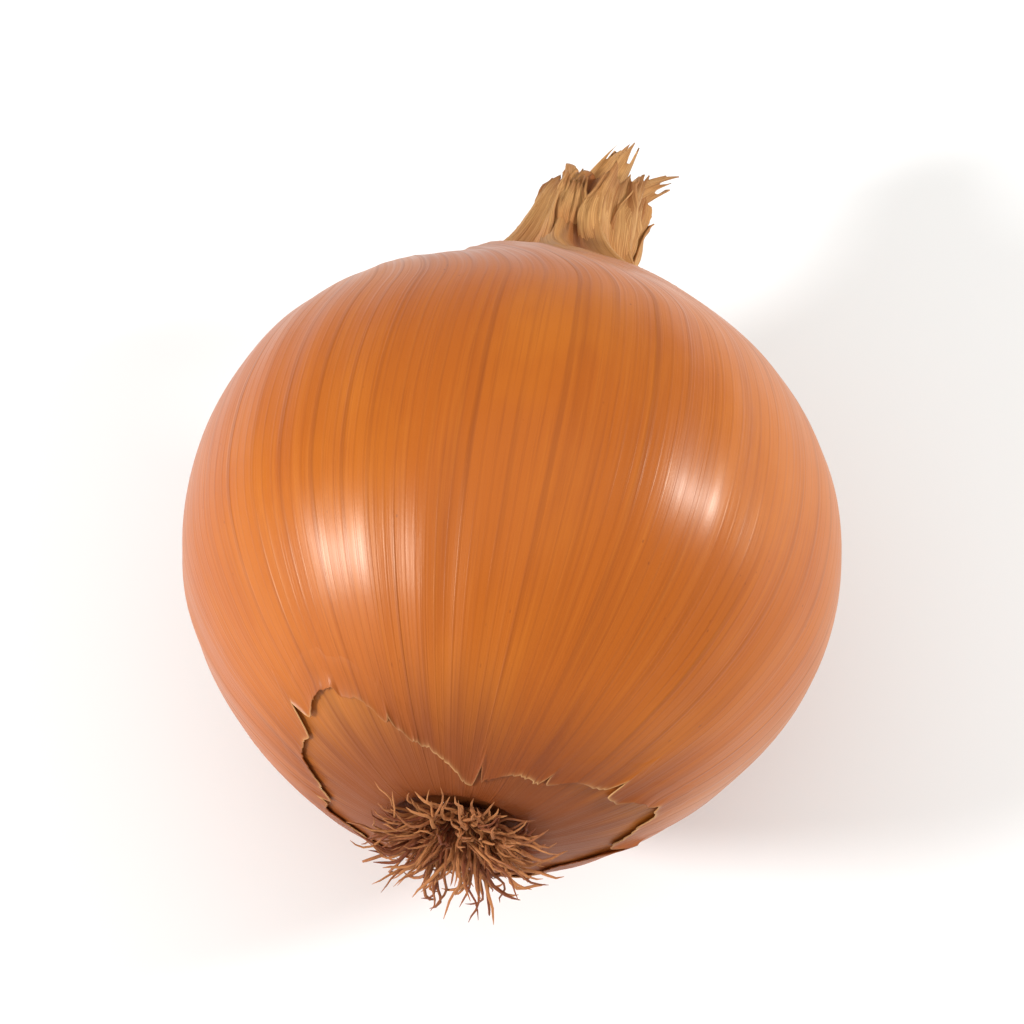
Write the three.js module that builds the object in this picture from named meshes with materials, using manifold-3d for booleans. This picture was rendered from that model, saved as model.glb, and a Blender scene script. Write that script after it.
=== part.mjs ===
// A dry yellow onion as picked and cured, lying on its side.
// Millimetres, +Z up. The onion's own axis runs along Y: roots towards -Y, neck towards +Y.
// The origin is the centre of the small flat spot that it rests on.
import * as THREE from "three";
import { mergeVertices } from "three/addons/utils/BufferGeometryUtils.js";
import Module from "manifold-3d";

// Driving dimensions of the bulb
const bulbRadius = 36;
const flatSpotDepth = 0.75;
const neckDroop = THREE.MathUtils.degToRad(8);

// Outline of the bulb from the root hollow to the bottom of the hollow in the neck's end:
// distance along its axis from the widest ring, and radius. Its two ends are on the axis.
const outline = [
  [-33.2, 0],
  [-33.3, 3.8],
  [-33.7, 6.2],
  [-34.9, 7.8],
  [-33.8, 11.6],
  [-29.4, 19.5],
  [-21.2, 28.2],
  [-11.0, 34.2],
  [0, bulbRadius],
  [10.6, 34.5],
  [20.0, 29.7],
  [27.2, 22.4],
  [32.2, 15.4],
  [36.4, 10.3],
  [41.0, 7.3],
  [46.0, 6.0],
  [50.0, 5.6],
  [51.5, 4.9],
  [50.2, 4.2],
  [47.4, 3.7],
  [46.6, 0],
];
// Rings in each span of the outline, and in the spans where the skin has torn or is pleated
const spanRings = 2;
const closeRings = 6;
const closeSpans = [4, 12];
const segments = 81;

// Relief of the skin
const lobes = [
  { count: 2, height: 0.35, phase: 0.4 },
  { count: 3, height: 0.3, phase: 1.9 },
  { count: 5, height: 0.3, phase: 0.7 },
];
const ribCount = 28;
const ribHeight = 0.16;
const pleatCount = 9;
const pleatStart = 16;
const pleatFull = 40;
const pleatHeight = 1.1;
const neckTwist = 1.1;

// The outermost skin ends in a ragged edge round the roots and is split below the neck.
// The split's width is a share of a turn, and it opens over a length from its foot.
const skinStep = 0.55;
const skinEdgeRadius = 15.5;
const skinEdgeSoftness = 0.5;
const skinEdgeWaves = [
  { count: 2, height: 2.6, phase: 0.9 },
  { count: 3, height: 2.2, phase: 2.4 },
  { count: 5, height: 1.0, phase: 0.6 },
  { count: 11, height: 0.7, phase: 2 },
];
const splitTurn = 0.1;
const splitHalfWidth = 0.075;
const splitFoot = 9;
const splitOpensOver = 22;
const splitWavesOver = 8;
const splitWaves = [
  { length: 3.1, width: 0.012, phase: 0 },
  { length: 1.3, width: 0.008, phase: 1 },
];
const splitSoftness = 0.006;

// Relief fades out where the onion is thinner than these radii.
const ribsFadeBelow = 12;
const pleatsFadeBelow = 5;

// The neck leans a little as it dries.
const neckLeanFrom = 32;
const neckLeanSide = 3.6;
const neckLeanDown = 1.2;
const neckLeanOver = 22;

// Dry sheath ends that fray out of the neck
const sheathRings = [
  { count: 7, ring: 3.9, width: 5.6, flare: [-1.2, 3.4] },
  { count: 3, ring: 1.7, width: 4.0, flare: [-0.6, 1.4] },
];
const sheathThickness = 0.7;
const sheathSteps = 5;
const sheathAcross = 4;
const sheathBase = 44;
const sheathShortest = 10;
const sheathLongest = 17;
const sheathStrays = 0.4;
const sheathTurn = [-0.4, 0.8];
const sheathTipNarrowed = 0.7;
const sheathNarrowsLate = 2.5;

// Root plate, as distance along the axis and radius from its outer face to its inner one.
// Its edge waves in and out by shares of its radius.
const plateRadius = 5.6;
const plateSection = [
  [-36.1, 0],
  [-35.7, 3.0],
  [-34.8, 5.0],
  [-34.6, plateRadius],
  [-33.95, 4.4],
  [-33.7, 0],
];
const plateSides = 24;
const plateWaves = [
  { count: 5, depth: 0.05, phase: 1 },
  { count: 9, depth: 0.03, phase: 0 },
];

// Dried roots: they start inside the plate, within a reach of its middle.
const rootStartAxial = -34.4;
const rootStartReach = 4.6;
const rootCount = 72;
const rootShortest = 4.5;
const rootLongest = 10.5;
const rootThickness = 0.8;
const rootTaper = 0.35;
const rootSplay = 1.35;
const rootSplayVaries = 0.5;
const rootSplayAtStart = 0.4;
const rootSwirl = 1.4;
const rootSides = 3;
const rootSteps = 4;

const skinMaterial = new THREE.MeshStandardMaterial({
  color: 0xc06a2c,
  roughness: 0.38,
  metalness: 0,
});
const rootMaterial = new THREE.MeshStandardMaterial({
  color: 0xa9825a,
  roughness: 0.9,
  metalness: 0,
});

const manifold = await Module();
manifold.setup();

// An even spread of values from 0 to 1: value number index of series number series.
function spread(index, series) {
  const steps = [0.6180339887, 0.7548776662, 0.5698402910, 0.4142135624, 0.7320508076];
  return ((index + 1) * steps[series]) % 1;
}

function smoothStep(low, high, value) {
  return THREE.MathUtils.smoothstep(value, low, high);
}

// The onion's own frame has +Z from roots to neck. This lays it on its side, neck a little down.
const laidOver = new THREE.Matrix4().makeRotationX(-Math.PI / 2 - neckDroop);

function solidFrom(geometry) {
  const bare = geometry.index ? geometry.toNonIndexed() : geometry.clone();
  bare.deleteAttribute("normal");
  bare.deleteAttribute("uv");
  const merged = mergeVertices(bare, 1e-4);
  return new manifold.Manifold(
    new manifold.Mesh({
      numProp: 3,
      vertProperties: merged.attributes.position.array,
      triVerts: new Uint32Array(merged.index.array),
    }),
  );
}

function geometryFrom(solid) {
  const mesh = solid.getMesh();
  return new THREE.BufferGeometry()
    .setAttribute("position", new THREE.BufferAttribute(mesh.vertProperties, 3))
    .setIndex(new THREE.BufferAttribute(mesh.triVerts, 1));
}

function geometryOf(points, faces) {
  return new THREE.BufferGeometry()
    .setAttribute("position", new THREE.Float32BufferAttribute(points.flat(), 3))
    .setIndex(faces.flat());
}

// How far the onion's centreline has leant from its axis at a distance along it.
function lean(axial) {
  const share = Math.max(0, axial - neckLeanFrom) / neckLeanOver;
  return [neckLeanSide * share * share, neckLeanDown * share * share];
}

// 1 where the outermost skin covers the bulb, 0 where it has come away.
function outerSkin(angle, axial, radius) {
  const turn = angle / (2 * Math.PI);
  const ragged = skinEdgeWaves.reduce((sum, w) => sum + w.height * Math.sin(w.count * angle + w.phase), 0);
  const outsideEdge = radius - skinEdgeRadius - ragged;
  const awayFromRoots = axial > 0 ? 1 : smoothStep(-skinEdgeSoftness, skinEdgeSoftness, outsideEdge);
  const fromSplit = Math.abs(((turn - splitTurn + 1.5) % 1) - 0.5);
  const wander = splitWaves.reduce((sum, w) => sum + w.width * Math.sin(axial / w.length + w.phase), 0);
  const opened = splitHalfWidth * smoothStep(splitFoot, splitFoot + splitOpensOver, axial);
  const opening = opened + wander * smoothStep(splitFoot, splitFoot + splitWavesOver, axial);
  const besideSplit = smoothStep(opening - splitSoftness, opening + splitSoftness, fromSplit);
  const beside = axial < splitFoot ? 1 : besideSplit;
  return awayFromRoots * beside;
}

// How far the skin has turned round the axis as the neck dried.
function twistAt(axial) {
  return neckTwist * smoothStep(pleatStart, pleatFull, axial) * (axial / pleatFull);
}

function reliefAt(angle, axial, radius) {
  const girth = radius / bulbRadius;
  const broad = lobes.reduce((sum, l) => sum + l.height * Math.cos(l.count * angle + l.phase), 0);
  const ribs = ribHeight * Math.cos(ribCount * angle);
  const pleatShare = smoothStep(pleatStart, pleatFull, axial);
  const pleatWave = Math.cos(pleatCount * (angle + twistAt(axial)));
  const pleats = pleatHeight * pleatShare * pleatWave * Math.min(1, radius / pleatsFadeBelow);
  const covered = skinStep * outerSkin(angle, axial, radius) * (1 - pleatShare);
  return broad * girth + (ribs + covered) * Math.min(1, radius / ribsFadeBelow) + pleats;
}

// A point of the skin on grid line number turn, which runs along a pleat at the neck.
function skinPoint(curve, turn, share) {
  const { x: axial, y: radius } = curve.getPoint(share);
  const angle = 2 * Math.PI * turn - twistAt(axial);
  const r = radius + (radius > 0 ? reliefAt(angle, axial, radius) : 0);
  const [side, down] = lean(axial);
  return [r * Math.cos(angle) + side, r * Math.sin(angle) + down, axial];
}

// Shares of the outline at which the bulb has a ring of points
function ringShares() {
  const spans = outline.length - 1;
  const shares = [];
  for (let span = 0; span < spans; span++) {
    const count = closeSpans.includes(span) ? closeRings : spanRings;
    for (let k = 0; k < count; k++) shares.push((span + k / count) / spans);
  }
  return shares.slice(1);
}

function bulbBody() {
  const curve = new THREE.SplineCurve(outline.map(([a, r]) => new THREE.Vector2(a, r)));
  const shares = ringShares();
  const points = [skinPoint(curve, 0, 0)];
  for (const share of shares)
    for (let s = 0; s < segments; s++) points.push(skinPoint(curve, s / segments, share));
  points.push(skinPoint(curve, 0, 1));
  const last = points.length - 1;
  const at = (ring, s) => 1 + (ring - 1) * segments + (s % segments);
  const faces = [];
  for (let s = 0; s < segments; s++) {
    faces.push([0, at(1, s + 1), at(1, s)]);
    faces.push([last, at(shares.length, s), at(shares.length, s + 1)]);
    for (let ring = 1; ring < shares.length; ring++) {
      faces.push([at(ring, s), at(ring, s + 1), at(ring + 1, s + 1)]);
      faces.push([at(ring, s), at(ring + 1, s + 1), at(ring + 1, s)]);
    }
  }
  return solidFrom(geometryOf(points, faces));
}

// A thin pointed blade: its middle line, half width and outward direction come from place(share).
function blade(place, along, across, thickness) {
  const points = [];
  const faces = [];
  for (const face of [1, -1])
    for (let i = 0; i <= along; i++)
      for (let j = 0; j <= across; j++) {
        const { middle, wide, out, cup } = place(i / along);
        const v = (2 * j) / across - 1;
        const p = middle.clone().addScaledVector(wide, v);
        p.addScaledVector(out, (face * thickness) / 2 - cup * v * v);
        points.push(p.toArray());
      }
  const side = (along + 1) * (across + 1);
  const at = (face, i, j) => face * side + i * (across + 1) + j;
  const quad = (a, b, c, d) => faces.push([a, b, c], [a, c, d]);
  for (let i = 0; i < along; i++)
    for (let j = 0; j < across; j++) {
      quad(at(0, i, j), at(0, i, j + 1), at(0, i + 1, j + 1), at(0, i + 1, j));
      faces.push([at(1, i, j), at(1, i + 1, j + 1), at(1, i, j + 1)]);
      faces.push([at(1, i, j), at(1, i + 1, j), at(1, i + 1, j + 1)]);
    }
  for (let i = 0; i < along; i++) {
    quad(at(0, i + 1, 0), at(1, i + 1, 0), at(1, i, 0), at(0, i, 0));
    quad(at(0, i, across), at(1, i, across), at(1, i + 1, across), at(0, i + 1, across));
  }
  for (let j = 0; j < across; j++) {
    quad(at(0, 0, j), at(1, 0, j), at(1, 0, j + 1), at(0, 0, j + 1));
    quad(at(0, along, j + 1), at(1, along, j + 1), at(1, along, j), at(0, along, j));
  }
  return solidFrom(geometryOf(points, faces));
}

function sheathEnd(index, { count, ring, width, flare }) {
  const angle = (2 * Math.PI * (index + sheathStrays * spread(index, 1))) / count;
  const length = THREE.MathUtils.lerp(sheathShortest, sheathLongest, spread(index, 0));
  const opening = THREE.MathUtils.lerp(flare[0], flare[1], spread(index, 2));
  const turnBy = THREE.MathUtils.lerp(sheathTurn[0], sheathTurn[1], spread(index, 3));
  const place = (share) => {
    const here = angle + turnBy * share;
    const out = new THREE.Vector3(Math.cos(here), Math.sin(here), 0);
    const axial = sheathBase + length * share;
    const [side, down] = lean(axial);
    const middle = new THREE.Vector3(side, down, axial);
    middle.addScaledVector(out, ring + opening * share * share);
    const halfWidth = (width / 2) * (1 - sheathTipNarrowed * share ** sheathNarrowsLate);
    const wide = new THREE.Vector3(-Math.sin(here), Math.cos(here), 0).multiplyScalar(halfWidth);
    return { middle, wide, out, cup: (halfWidth * halfWidth) / (2 * ring) };
  };
  return blade(place, sheathSteps, sheathAcross, sheathThickness);
}

function bulbAndNeck() {
  let solid = bulbBody();
  for (const sheaths of sheathRings)
    for (let i = 0; i < sheaths.count; i++) solid = solid.add(sheathEnd(i, sheaths));
  return solid.transform(laidOver.elements);
}

// A direction that no root runs in, to set the sides of each root by
const skew = new THREE.Vector3(0.31, 0.86, 0.4);

// A tapering fibre with few sides along a list of points.
function fibre(path, thickness) {
  const points = [];
  const faces = [];
  const steps = path.length - 1;
  path.forEach((p, i) => {
    const ahead = path[Math.min(i + 1, steps)].clone().sub(path[Math.max(i - 1, 0)]).normalize();
    const x = skew.clone().cross(ahead).normalize();
    const y = ahead.clone().cross(x);
    const r = (thickness / 2) * (1 - rootTaper * (i / steps));
    for (let s = 0; s < rootSides; s++) {
      const angle = (2 * Math.PI * s) / rootSides;
      const q = p.clone().addScaledVector(x, r * Math.cos(angle)).addScaledVector(y, r * Math.sin(angle));
      points.push(q.toArray());
    }
  });
  const at = (i, s) => i * rootSides + (s % rootSides);
  for (let i = 0; i < steps; i++)
    for (let s = 0; s < rootSides; s++) {
      faces.push([at(i, s), at(i, s + 1), at(i + 1, s + 1)]);
      faces.push([at(i, s), at(i + 1, s + 1), at(i + 1, s)]);
    }
  for (let s = 1; s < rootSides - 1; s++) {
    faces.push([at(0, 0), at(0, s + 1), at(0, s)]);
    faces.push([at(steps, 0), at(steps, s), at(steps, s + 1)]);
  }
  return solidFrom(geometryOf(points, faces));
}

// Root number index: it leaves the plate and bends outwards, the outer ones the most.
function rootPath(index) {
  const share = Math.sqrt((index + 0.5) / rootCount);
  const angle = index * Math.PI * (3 - Math.sqrt(5));
  const length = THREE.MathUtils.lerp(rootShortest, rootLongest, spread(index, 1));
  const splay = rootSplay * share + rootSplayVaries * spread(index, 2);
  const swirl = rootSwirl * (spread(index, 3) - 0.5);
  const path = [];
  const here = new THREE.Vector3(
    share * rootStartReach * Math.cos(angle),
    share * rootStartReach * Math.sin(angle),
    rootStartAxial,
  );
  for (let i = 0; i <= rootSteps; i++) {
    path.push(here.clone());
    const along = i / rootSteps;
    const tilt = splay * THREE.MathUtils.lerp(rootSplayAtStart, 1, along);
    const heading = angle + swirl * along;
    const step = new THREE.Vector3(
      Math.sin(tilt) * Math.cos(heading),
      Math.sin(tilt) * Math.sin(heading),
      -Math.cos(tilt),
    );
    here.addScaledVector(step, length / rootSteps);
  }
  return path;
}

function rootPlate() {
  const section = plateSection.map(([axial, radius]) => new THREE.Vector2(radius, axial));
  const plate = new THREE.LatheGeometry(section, plateSides).rotateX(Math.PI / 2);
  const at = plate.getAttribute("position");
  for (let i = 0; i < at.count; i++) {
    const angle = Math.atan2(at.getY(i), at.getX(i));
    const inset = plateWaves.reduce((sum, w) => sum + w.depth * (1 + Math.cos(w.count * angle + w.phase)), 0);
    at.setXY(i, at.getX(i) * (1 - inset), at.getY(i) * (1 - inset));
  }
  return solidFrom(plate);
}

function rootTuft() {
  let solid = rootPlate();
  for (let i = 0; i < rootCount; i++) solid = solid.add(fibre(rootPath(i), rootThickness));
  return solid.transform(laidOver.elements);
}

const groundReach = 200;
const groundBlock = solidFrom(
  new THREE.BoxGeometry(groundReach, groundReach, groundReach).translate(0, 0, -groundReach / 2),
);

// How far to move the onion so that the ground cuts a flat spot of the chosen depth,
// with the spot's centre at the origin.
function settling(solid) {
  const up = -solid.boundingBox().min[2] - flatSpotDepth;
  const below = solid.translate([0, 0, up]).intersect(groundBlock).boundingBox();
  return [-(below.min[0] + below.max[0]) / 2, -(below.min[1] + below.max[1]) / 2, up];
}

function part(name, solid, material) {
  const mesh = new THREE.Mesh(geometryFrom(solid), material);
  mesh.name = name;
  return mesh;
}

const bulb = bulbAndNeck();
const move = settling(bulb);
const onion = new THREE.Group();
onion.add(part("bulb", bulb.translate(move).subtract(groundBlock), skinMaterial));
onion.add(part("root_tuft", rootTuft().translate(move), rootMaterial));

export default onion;
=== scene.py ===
"""A dry yellow onion lying on its side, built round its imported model.

The onion's own frame is in millimetres, with +Z from its roots to its neck. Its outline, lobes, pleats
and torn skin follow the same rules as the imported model, with finer detail. Lengths are in millimetres
up to the studio, and in metres in the settings and the studio.
"""

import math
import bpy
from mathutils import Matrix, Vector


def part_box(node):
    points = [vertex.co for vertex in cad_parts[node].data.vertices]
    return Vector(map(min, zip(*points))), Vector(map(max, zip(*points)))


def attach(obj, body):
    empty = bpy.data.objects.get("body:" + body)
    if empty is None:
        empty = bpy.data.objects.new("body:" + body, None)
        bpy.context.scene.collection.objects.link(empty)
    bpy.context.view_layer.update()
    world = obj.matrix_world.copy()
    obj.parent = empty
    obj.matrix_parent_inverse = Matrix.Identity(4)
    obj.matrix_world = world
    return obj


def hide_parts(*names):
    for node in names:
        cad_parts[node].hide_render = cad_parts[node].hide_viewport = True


bl_info = {
    "name": "Yellow Onion",
    "version": (1, 0, 0),
    "blender": (4, 5, 0),
    "location": "3D View > Sidebar > Onion",
    "description": "Papery skin, dried neck and dried roots of a yellow onion, with its studio",
    "category": "Object",
}

import bpy
import numpy as np
from mathutils import Matrix, Vector

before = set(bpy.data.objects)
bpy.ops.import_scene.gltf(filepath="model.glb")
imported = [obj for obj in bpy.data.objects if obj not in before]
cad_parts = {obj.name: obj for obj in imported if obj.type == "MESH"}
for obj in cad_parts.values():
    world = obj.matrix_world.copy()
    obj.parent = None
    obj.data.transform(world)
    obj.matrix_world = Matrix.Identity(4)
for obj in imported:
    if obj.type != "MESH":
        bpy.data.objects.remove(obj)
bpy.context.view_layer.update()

MM = 0.001
BODY = "root"
TAU = 2 * math.pi
GOLDEN_ANGLE = math.pi * (3 - math.sqrt(5))

# Outline from the root hollow to the bottom of the hollow in the neck's end: distance along the axis
# from the widest ring, and radius
BULB_RADIUS = 36
OUTLINE = np.array([
    (-33.2, 0), (-33.3, 3.8), (-33.7, 6.2), (-34.9, 7.8), (-33.8, 11.6), (-29.4, 19.5), (-21.2, 28.2),
    (-11.0, 34.2), (0, BULB_RADIUS), (10.6, 34.5), (20.0, 29.7), (27.2, 22.4), (32.2, 15.4), (36.4, 10.3),
    (41.0, 7.3), (46.0, 6.0), (50.0, 5.6), (51.5, 4.9), (50.2, 4.2), (47.4, 3.7), (46.6, 0),
])
WALK_POINTS = 6001

# Lobes round the bulb as (how many, height, phase)
LOBES = ((2, 0.35, 0.4), (3, 0.3, 1.9), (5, 0.3, 0.7))

# Ribs under the skin, their bends as (how many, height, phase), and the share of their height that shows
RIB_COUNT = 28
RIB_HEIGHT = 0.16
RIB_BENDS = ((3, 0.9, 0), (8, 0.7, 1))
RIB_SHARE = 0.30
RIB_SHARE_CHANGE = 0.22
RIB_SHARE_COUNT = 5
RIB_SHARE_LENGTH = 11

# Dents and crinkles, and the radii by which each kind of relief has its full height
DENT_HEIGHT = 0.13
CRINKLE_HEIGHT = 0.07
CRINKLES_ON_GLOBE = 0.15
DENTS_FULL_AT = 14
RELIEF_FULL_AT = 12
FOLDS_FULL_AT = 5
AXIS_RADIUS = 0.01

# Pleats of the neck, which start and are full at these distances along the axis
PLEAT_COUNT = 9
PLEAT_START = 16
PLEAT_FULL = 40
PLEAT_HEIGHT = 1.1
PLEAT_BEND = 0.5
PLEAT_SHARE = 0.85
PLEAT_SHARE_CHANGE = 0.25
PLEAT_SHARE_COUNT = 4
NECK_TWIST = 1.1

# Sharp creases of the neck as (rate, mean, sharpness, height, how many bends, their height, slant)
NECK_CREASES = ((15.5, 0.45, 0.7, 0.45, 3, 1.3, 0), (34, 0.5, 0.8, 0.16, 5, 2.1, 0.12))

# How the neck leans to a side and down, and how the whole onion lies
LEAN_FROM = 32
LEAN_OVER = 22
LEAN_SIDE = 3.6
LEAN_DOWN = 1.2
NECK_DROOP = math.radians(8)

# The torn edge of the outermost skin, its waves as (how many, height, phase), and its notches as (turn,
# half width in turns, depth)
SKIN_STEP = 0.55
SKIN_EDGE_RADIUS = 15.5
SKIN_EDGE_WAVES = ((2, 2.6, 0.9), (3, 2.2, 2.4), (5, 1.0, 0.6), (11, 0.7, 2))
SKIN_EDGE_SOFTNESS = 0.35
NOTCHES = ((0.07, 0.010, 3.5), (0.21, 0.006, 2.2), (0.33, 0.012, 4.5), (0.47, 0.006, 1.6),
           (0.58, 0.010, 3.0), (0.672, 0.004, 1.4), (0.775, 0.007, 3.0), (0.86, 0.005, 1.6),
           (0.93, 0.007, 2.4))
NOTCH_SHARPNESS = 1.4

# The split in the outermost skin. Its widths and softness are in turns
SPLIT_TURN = 0.1
SPLIT_HALF_WIDTH = 0.075
SPLIT_FOOT = 9
SPLIT_END = 38
SPLIT_OPENS_OVER = 22
SPLIT_WAVES = ((1 / 3.1, 0.012, 0), (1 / 1.3, 0.008, 1))
SPLIT_WAVES_OVER = 8
SPLIT_TEETH_OVER = 60
SPLIT_SOFTNESS = 0.0015

# Dried sheath ends as (how many, ring radius, width, least and greatest flare)
SHEATH_RINGS = ((7, 3.9, 5.6, -1.2, 3.4), (3, 1.7, 4.0, -0.6, 1.4))
SHEATH_BASE = 44
SHEATH_STRAYS = 0.4
SHEATH_TURN = (-0.4, 0.8)

# Papery wraps that hug the neck: where each begins and ends along the axis, and half its width as a turn
WRAPS = ((33, 52.5, 0.10), (36, 55.0, 0.07), (31, 50.5, 0.12), (38, 54.0, 0.06), (34, 53.5, 0.09),
         (37, 51.5, 0.08), (32, 54.5, 0.08), (39, 52.0, 0.05))
NECK_STRAIGHT_FROM = 48

# Root plate: its radius, and its inner and outer face along the axis
PLATE_RADIUS = 5.6
PLATE_INNER = -33.7
PLATE_OUTER = -35.8


def tint(name, text, default):
    """A colour that a user may change."""
    return bpy.props.FloatVectorProperty(
        name=name, description=text, subtype="COLOR", size=3, min=0, max=1, default=default)


def size(name, text, default):
    """A length in metres that a user may change."""
    return bpy.props.FloatProperty(name=name, description=text, unit="LENGTH", min=0, default=default)


def amount(name, text, default, high=1.0):
    """A plain number that a user may change."""
    return bpy.props.FloatProperty(name=name, description=text, min=0, max=high, default=default)


def turn_of(name, text, degrees):
    """An angle that a user may change."""
    angle = math.radians(degrees)
    return bpy.props.FloatProperty(name=name, description=text, subtype="ANGLE", default=angle)


def tally(name, text, default):
    """A whole number that a user may change."""
    return bpy.props.IntProperty(name=name, description=text, min=1, default=default)


class OnionSkinSettings(bpy.types.PropertyGroup):
    """Sizes and colours of the bulb and its papery skin."""

    copper: tint("Copper", "Main colour of the dry skin", (0.425, 0.098, 0.004))
    golden: tint("Golden", "Lightest streaks of the dry skin", (0.550, 0.160, 0.008))
    # Russet is also the painted shade in the valleys of the neck's pleats
    russet: tint("Russet", "Darkest streaks of the dry skin", (0.245, 0.044, 0.003))
    vein: tint("Veins", "Lines that run from the roots to the neck", (0.190, 0.036, 0.004))
    straw: tint("Straw", "Dry skin at the neck", (0.560, 0.290, 0.095))
    root_brown: tint("Root brown", "Skin close to the roots", (0.190, 0.036, 0.005))
    fresh: tint("Fresh skin", "Skin laid bare where the outermost one has torn", (0.530, 0.180, 0.020))
    torn: tint("Torn edge", "Thin edge of the torn skin", (0.700, 0.410, 0.170))
    veins: tally("Vein count", "Main veins round the bulb", 54)
    gloss: amount("Roughness", "Roughness of the dry skin", 0.36)
    curl: size("Curl", "How far the torn edges stand off the bulb", 0.0009)
    thickness: size("Thickness", "Thickness of the dry skin", 0.00014)


class OnionNeckSettings(bpy.types.PropertyGroup):
    """Sizes and colours of the dried sheath ends."""

    shortest: size("Shortest", "Length of the shortest sheath end", 0.010)
    longest: size("Longest", "Length of the longest sheath end", 0.017)
    thickness: size("Thickness", "Thickness of the papery ends", 0.00018)
    paper: tint("Paper", "Colour of the dry sheath ends", (0.680, 0.370, 0.130))
    crease: tint("Crease", "Colour of their creases and tips", (0.330, 0.115, 0.028))
    foot: tint("Foot", "Colour of the wraps where they leave the bulb", (0.580, 0.230, 0.060))


class OnionRootSettings(bpy.types.PropertyGroup):
    """Sizes and colours of the dried roots and their plate."""

    count: tally("Roots", "How many dried roots", 260)
    thickness: size("Thickness", "Thickness of a root where it leaves the plate", 0.00058)
    shortest: size("Shortest", "Length of the shortest root", 0.004)
    longest: size("Longest", "Length of the longest root", 0.0105)
    pale: tint("Pale", "Colour of the palest roots", (0.470, 0.185, 0.062))
    dark: tint("Dark", "Colour of the darkest roots", (0.170, 0.038, 0.011))
    cork: tint("Cork", "Colour of the root plate", (0.200, 0.085, 0.038))


class OnionStudioSettings(bpy.types.PropertyGroup):
    """Camera, floor and light."""

    azimuth: turn_of("Azimuth", "Camera's way round the onion from its root end", 9)
    elevation: turn_of("Elevation", "Camera's height above the horizon", 66)
    lens: amount("Lens", "Focal length of the camera in millimetres", 135, 500)
    filled: amount("Filled", "Share of the picture that the onion's height takes", 0.78)
    floor: tint("Floor", "Colour of the floor", (0.855, 0.870, 0.885))


def settings():
    return bpy.context.scene.onion


# Measuring the onion's form

def smooth_step(low, high, value):
    t = np.clip((value - low) / (high - low), 0, 1)
    return t * t * (3 - 2 * t)


def blend(low, high, share):
    return low + (high - low) * share


def waves(series, value):
    """A sum of sine waves, each given as its rate, height and phase."""
    return sum(height * np.sin(rate * value + phase) for rate, height, phase in series)


def wrapped(turn):
    """A turn brought to between minus a half and a half."""
    return (turn + 0.5) % 1 - 0.5


SPREAD_STEPS = (0.6180339887, 0.7548776662, 0.5698402910, 0.4142135624, 0.7320508076)


def spread(index, series):
    """An even spread of values from 0 to 1: value number index of series number series."""
    return (index + 1) * SPREAD_STEPS[series] % 1


def outline_at(share):
    """Distance along the axis and radius, at a share of the way along the outline's points."""
    last = len(OUTLINE) - 1
    at = np.clip(np.asarray(share, float), 0, 1) * last
    i = np.minimum(at.astype(int), last - 1)
    t = (at - i)[..., None]
    p0, p1 = OUTLINE[np.maximum(i - 1, 0)], OUTLINE[i]
    p2, p3 = OUTLINE[np.minimum(i + 1, last)], OUTLINE[np.minimum(i + 2, last)]
    v0, v1 = (p2 - p0) / 2, (p3 - p1) / 2
    point = (2 * p1 - 2 * p2 + v0 + v1) * t**3 + (3 * p2 - 3 * p1 - 2 * v0 - v1) * t**2 + v0 * t + p1
    return point[..., 0], point[..., 1]


# The outline walked in small steps: share, axial and radius at each, and the length walked so far
WALK_SHARE = np.linspace(0, 1, WALK_POINTS)
WALK_AXIAL, WALK_RADIUS = outline_at(WALK_SHARE)
WALK_LENGTH = np.concatenate([[0], np.cumsum(np.hypot(np.diff(WALK_AXIAL), np.diff(WALK_RADIUS)))])
ROOT_RIM_STEP = int(np.argmin(WALK_AXIAL))
WIDEST_STEP = int(np.argmax(WALK_RADIUS))
NECK_RIM_STEP = int(np.argmax(WALK_AXIAL))
NECK_RIM_LENGTH = WALK_LENGTH[NECK_RIM_STEP]
NECK_RIM_REACH = 3.2


def share_at_length(length):
    return np.interp(length, WALK_LENGTH, WALK_SHARE)


def length_at_axial(axial):
    """Length walked to where the side of the bulb reaches a distance along its axis."""
    side = slice(ROOT_RIM_STEP, NECK_RIM_STEP + 1)
    return np.interp(axial, WALK_AXIAL[side], WALK_LENGTH[side])


def root_side(radius, walked):
    """The value in walked at which the root end's surface reaches a radius."""
    return np.interp(radius, WALK_RADIUS[:WIDEST_STEP], walked[:WIDEST_STEP])


def uneven(seed, count, longest, shortest):
    """A smooth uneven field of points, from about -1 to 1: a sum of seeded waves of many directions."""
    rng = np.random.default_rng(seed)
    directions = rng.normal(size=(count, 3))
    directions /= np.linalg.norm(directions, axis=1)[:, None]
    rates = (TAU / rng.uniform(shortest, longest, count))[:, None] * directions
    phases = rng.uniform(0, TAU, count)

    def field(points):
        total = 0
        for rate, phase in zip(rates, phases):
            total = total + np.sin(points @ rate + phase)
        return total / math.sqrt(count)
    return field


def ragged(seed, count, height):
    """A torn line round one turn: seeded teeth joined by straight stretches."""
    rng = np.random.default_rng(seed)
    turns = np.sort(rng.uniform(0, 1, count))
    heights = rng.uniform(-height, height, count)
    turns = np.concatenate([turns - 1, turns, turns + 1])
    heights = np.tile(heights, 3)
    return lambda turn: np.interp(turn % 1, turns, heights)


DENTS = uneven(seed=11, count=10, longest=60, shortest=20)
CRINKLES = uneven(seed=12, count=14, longest=11, shortest=4)
PLATE_LUMPS = uneven(seed=41, count=16, longest=2.6, shortest=0.8)
COARSE_TEETH = ragged(seed=21, count=60, height=0.45)
FINE_TEETH = ragged(seed=22, count=330, height=0.20)
SPLIT_COARSE_TEETH = ragged(seed=23, count=44, height=0.0032)
SPLIT_FINE_TEETH = ragged(seed=25, count=250, height=0.0012)
NECK_TEETH = ragged(seed=24, count=34, height=1.7)


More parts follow.
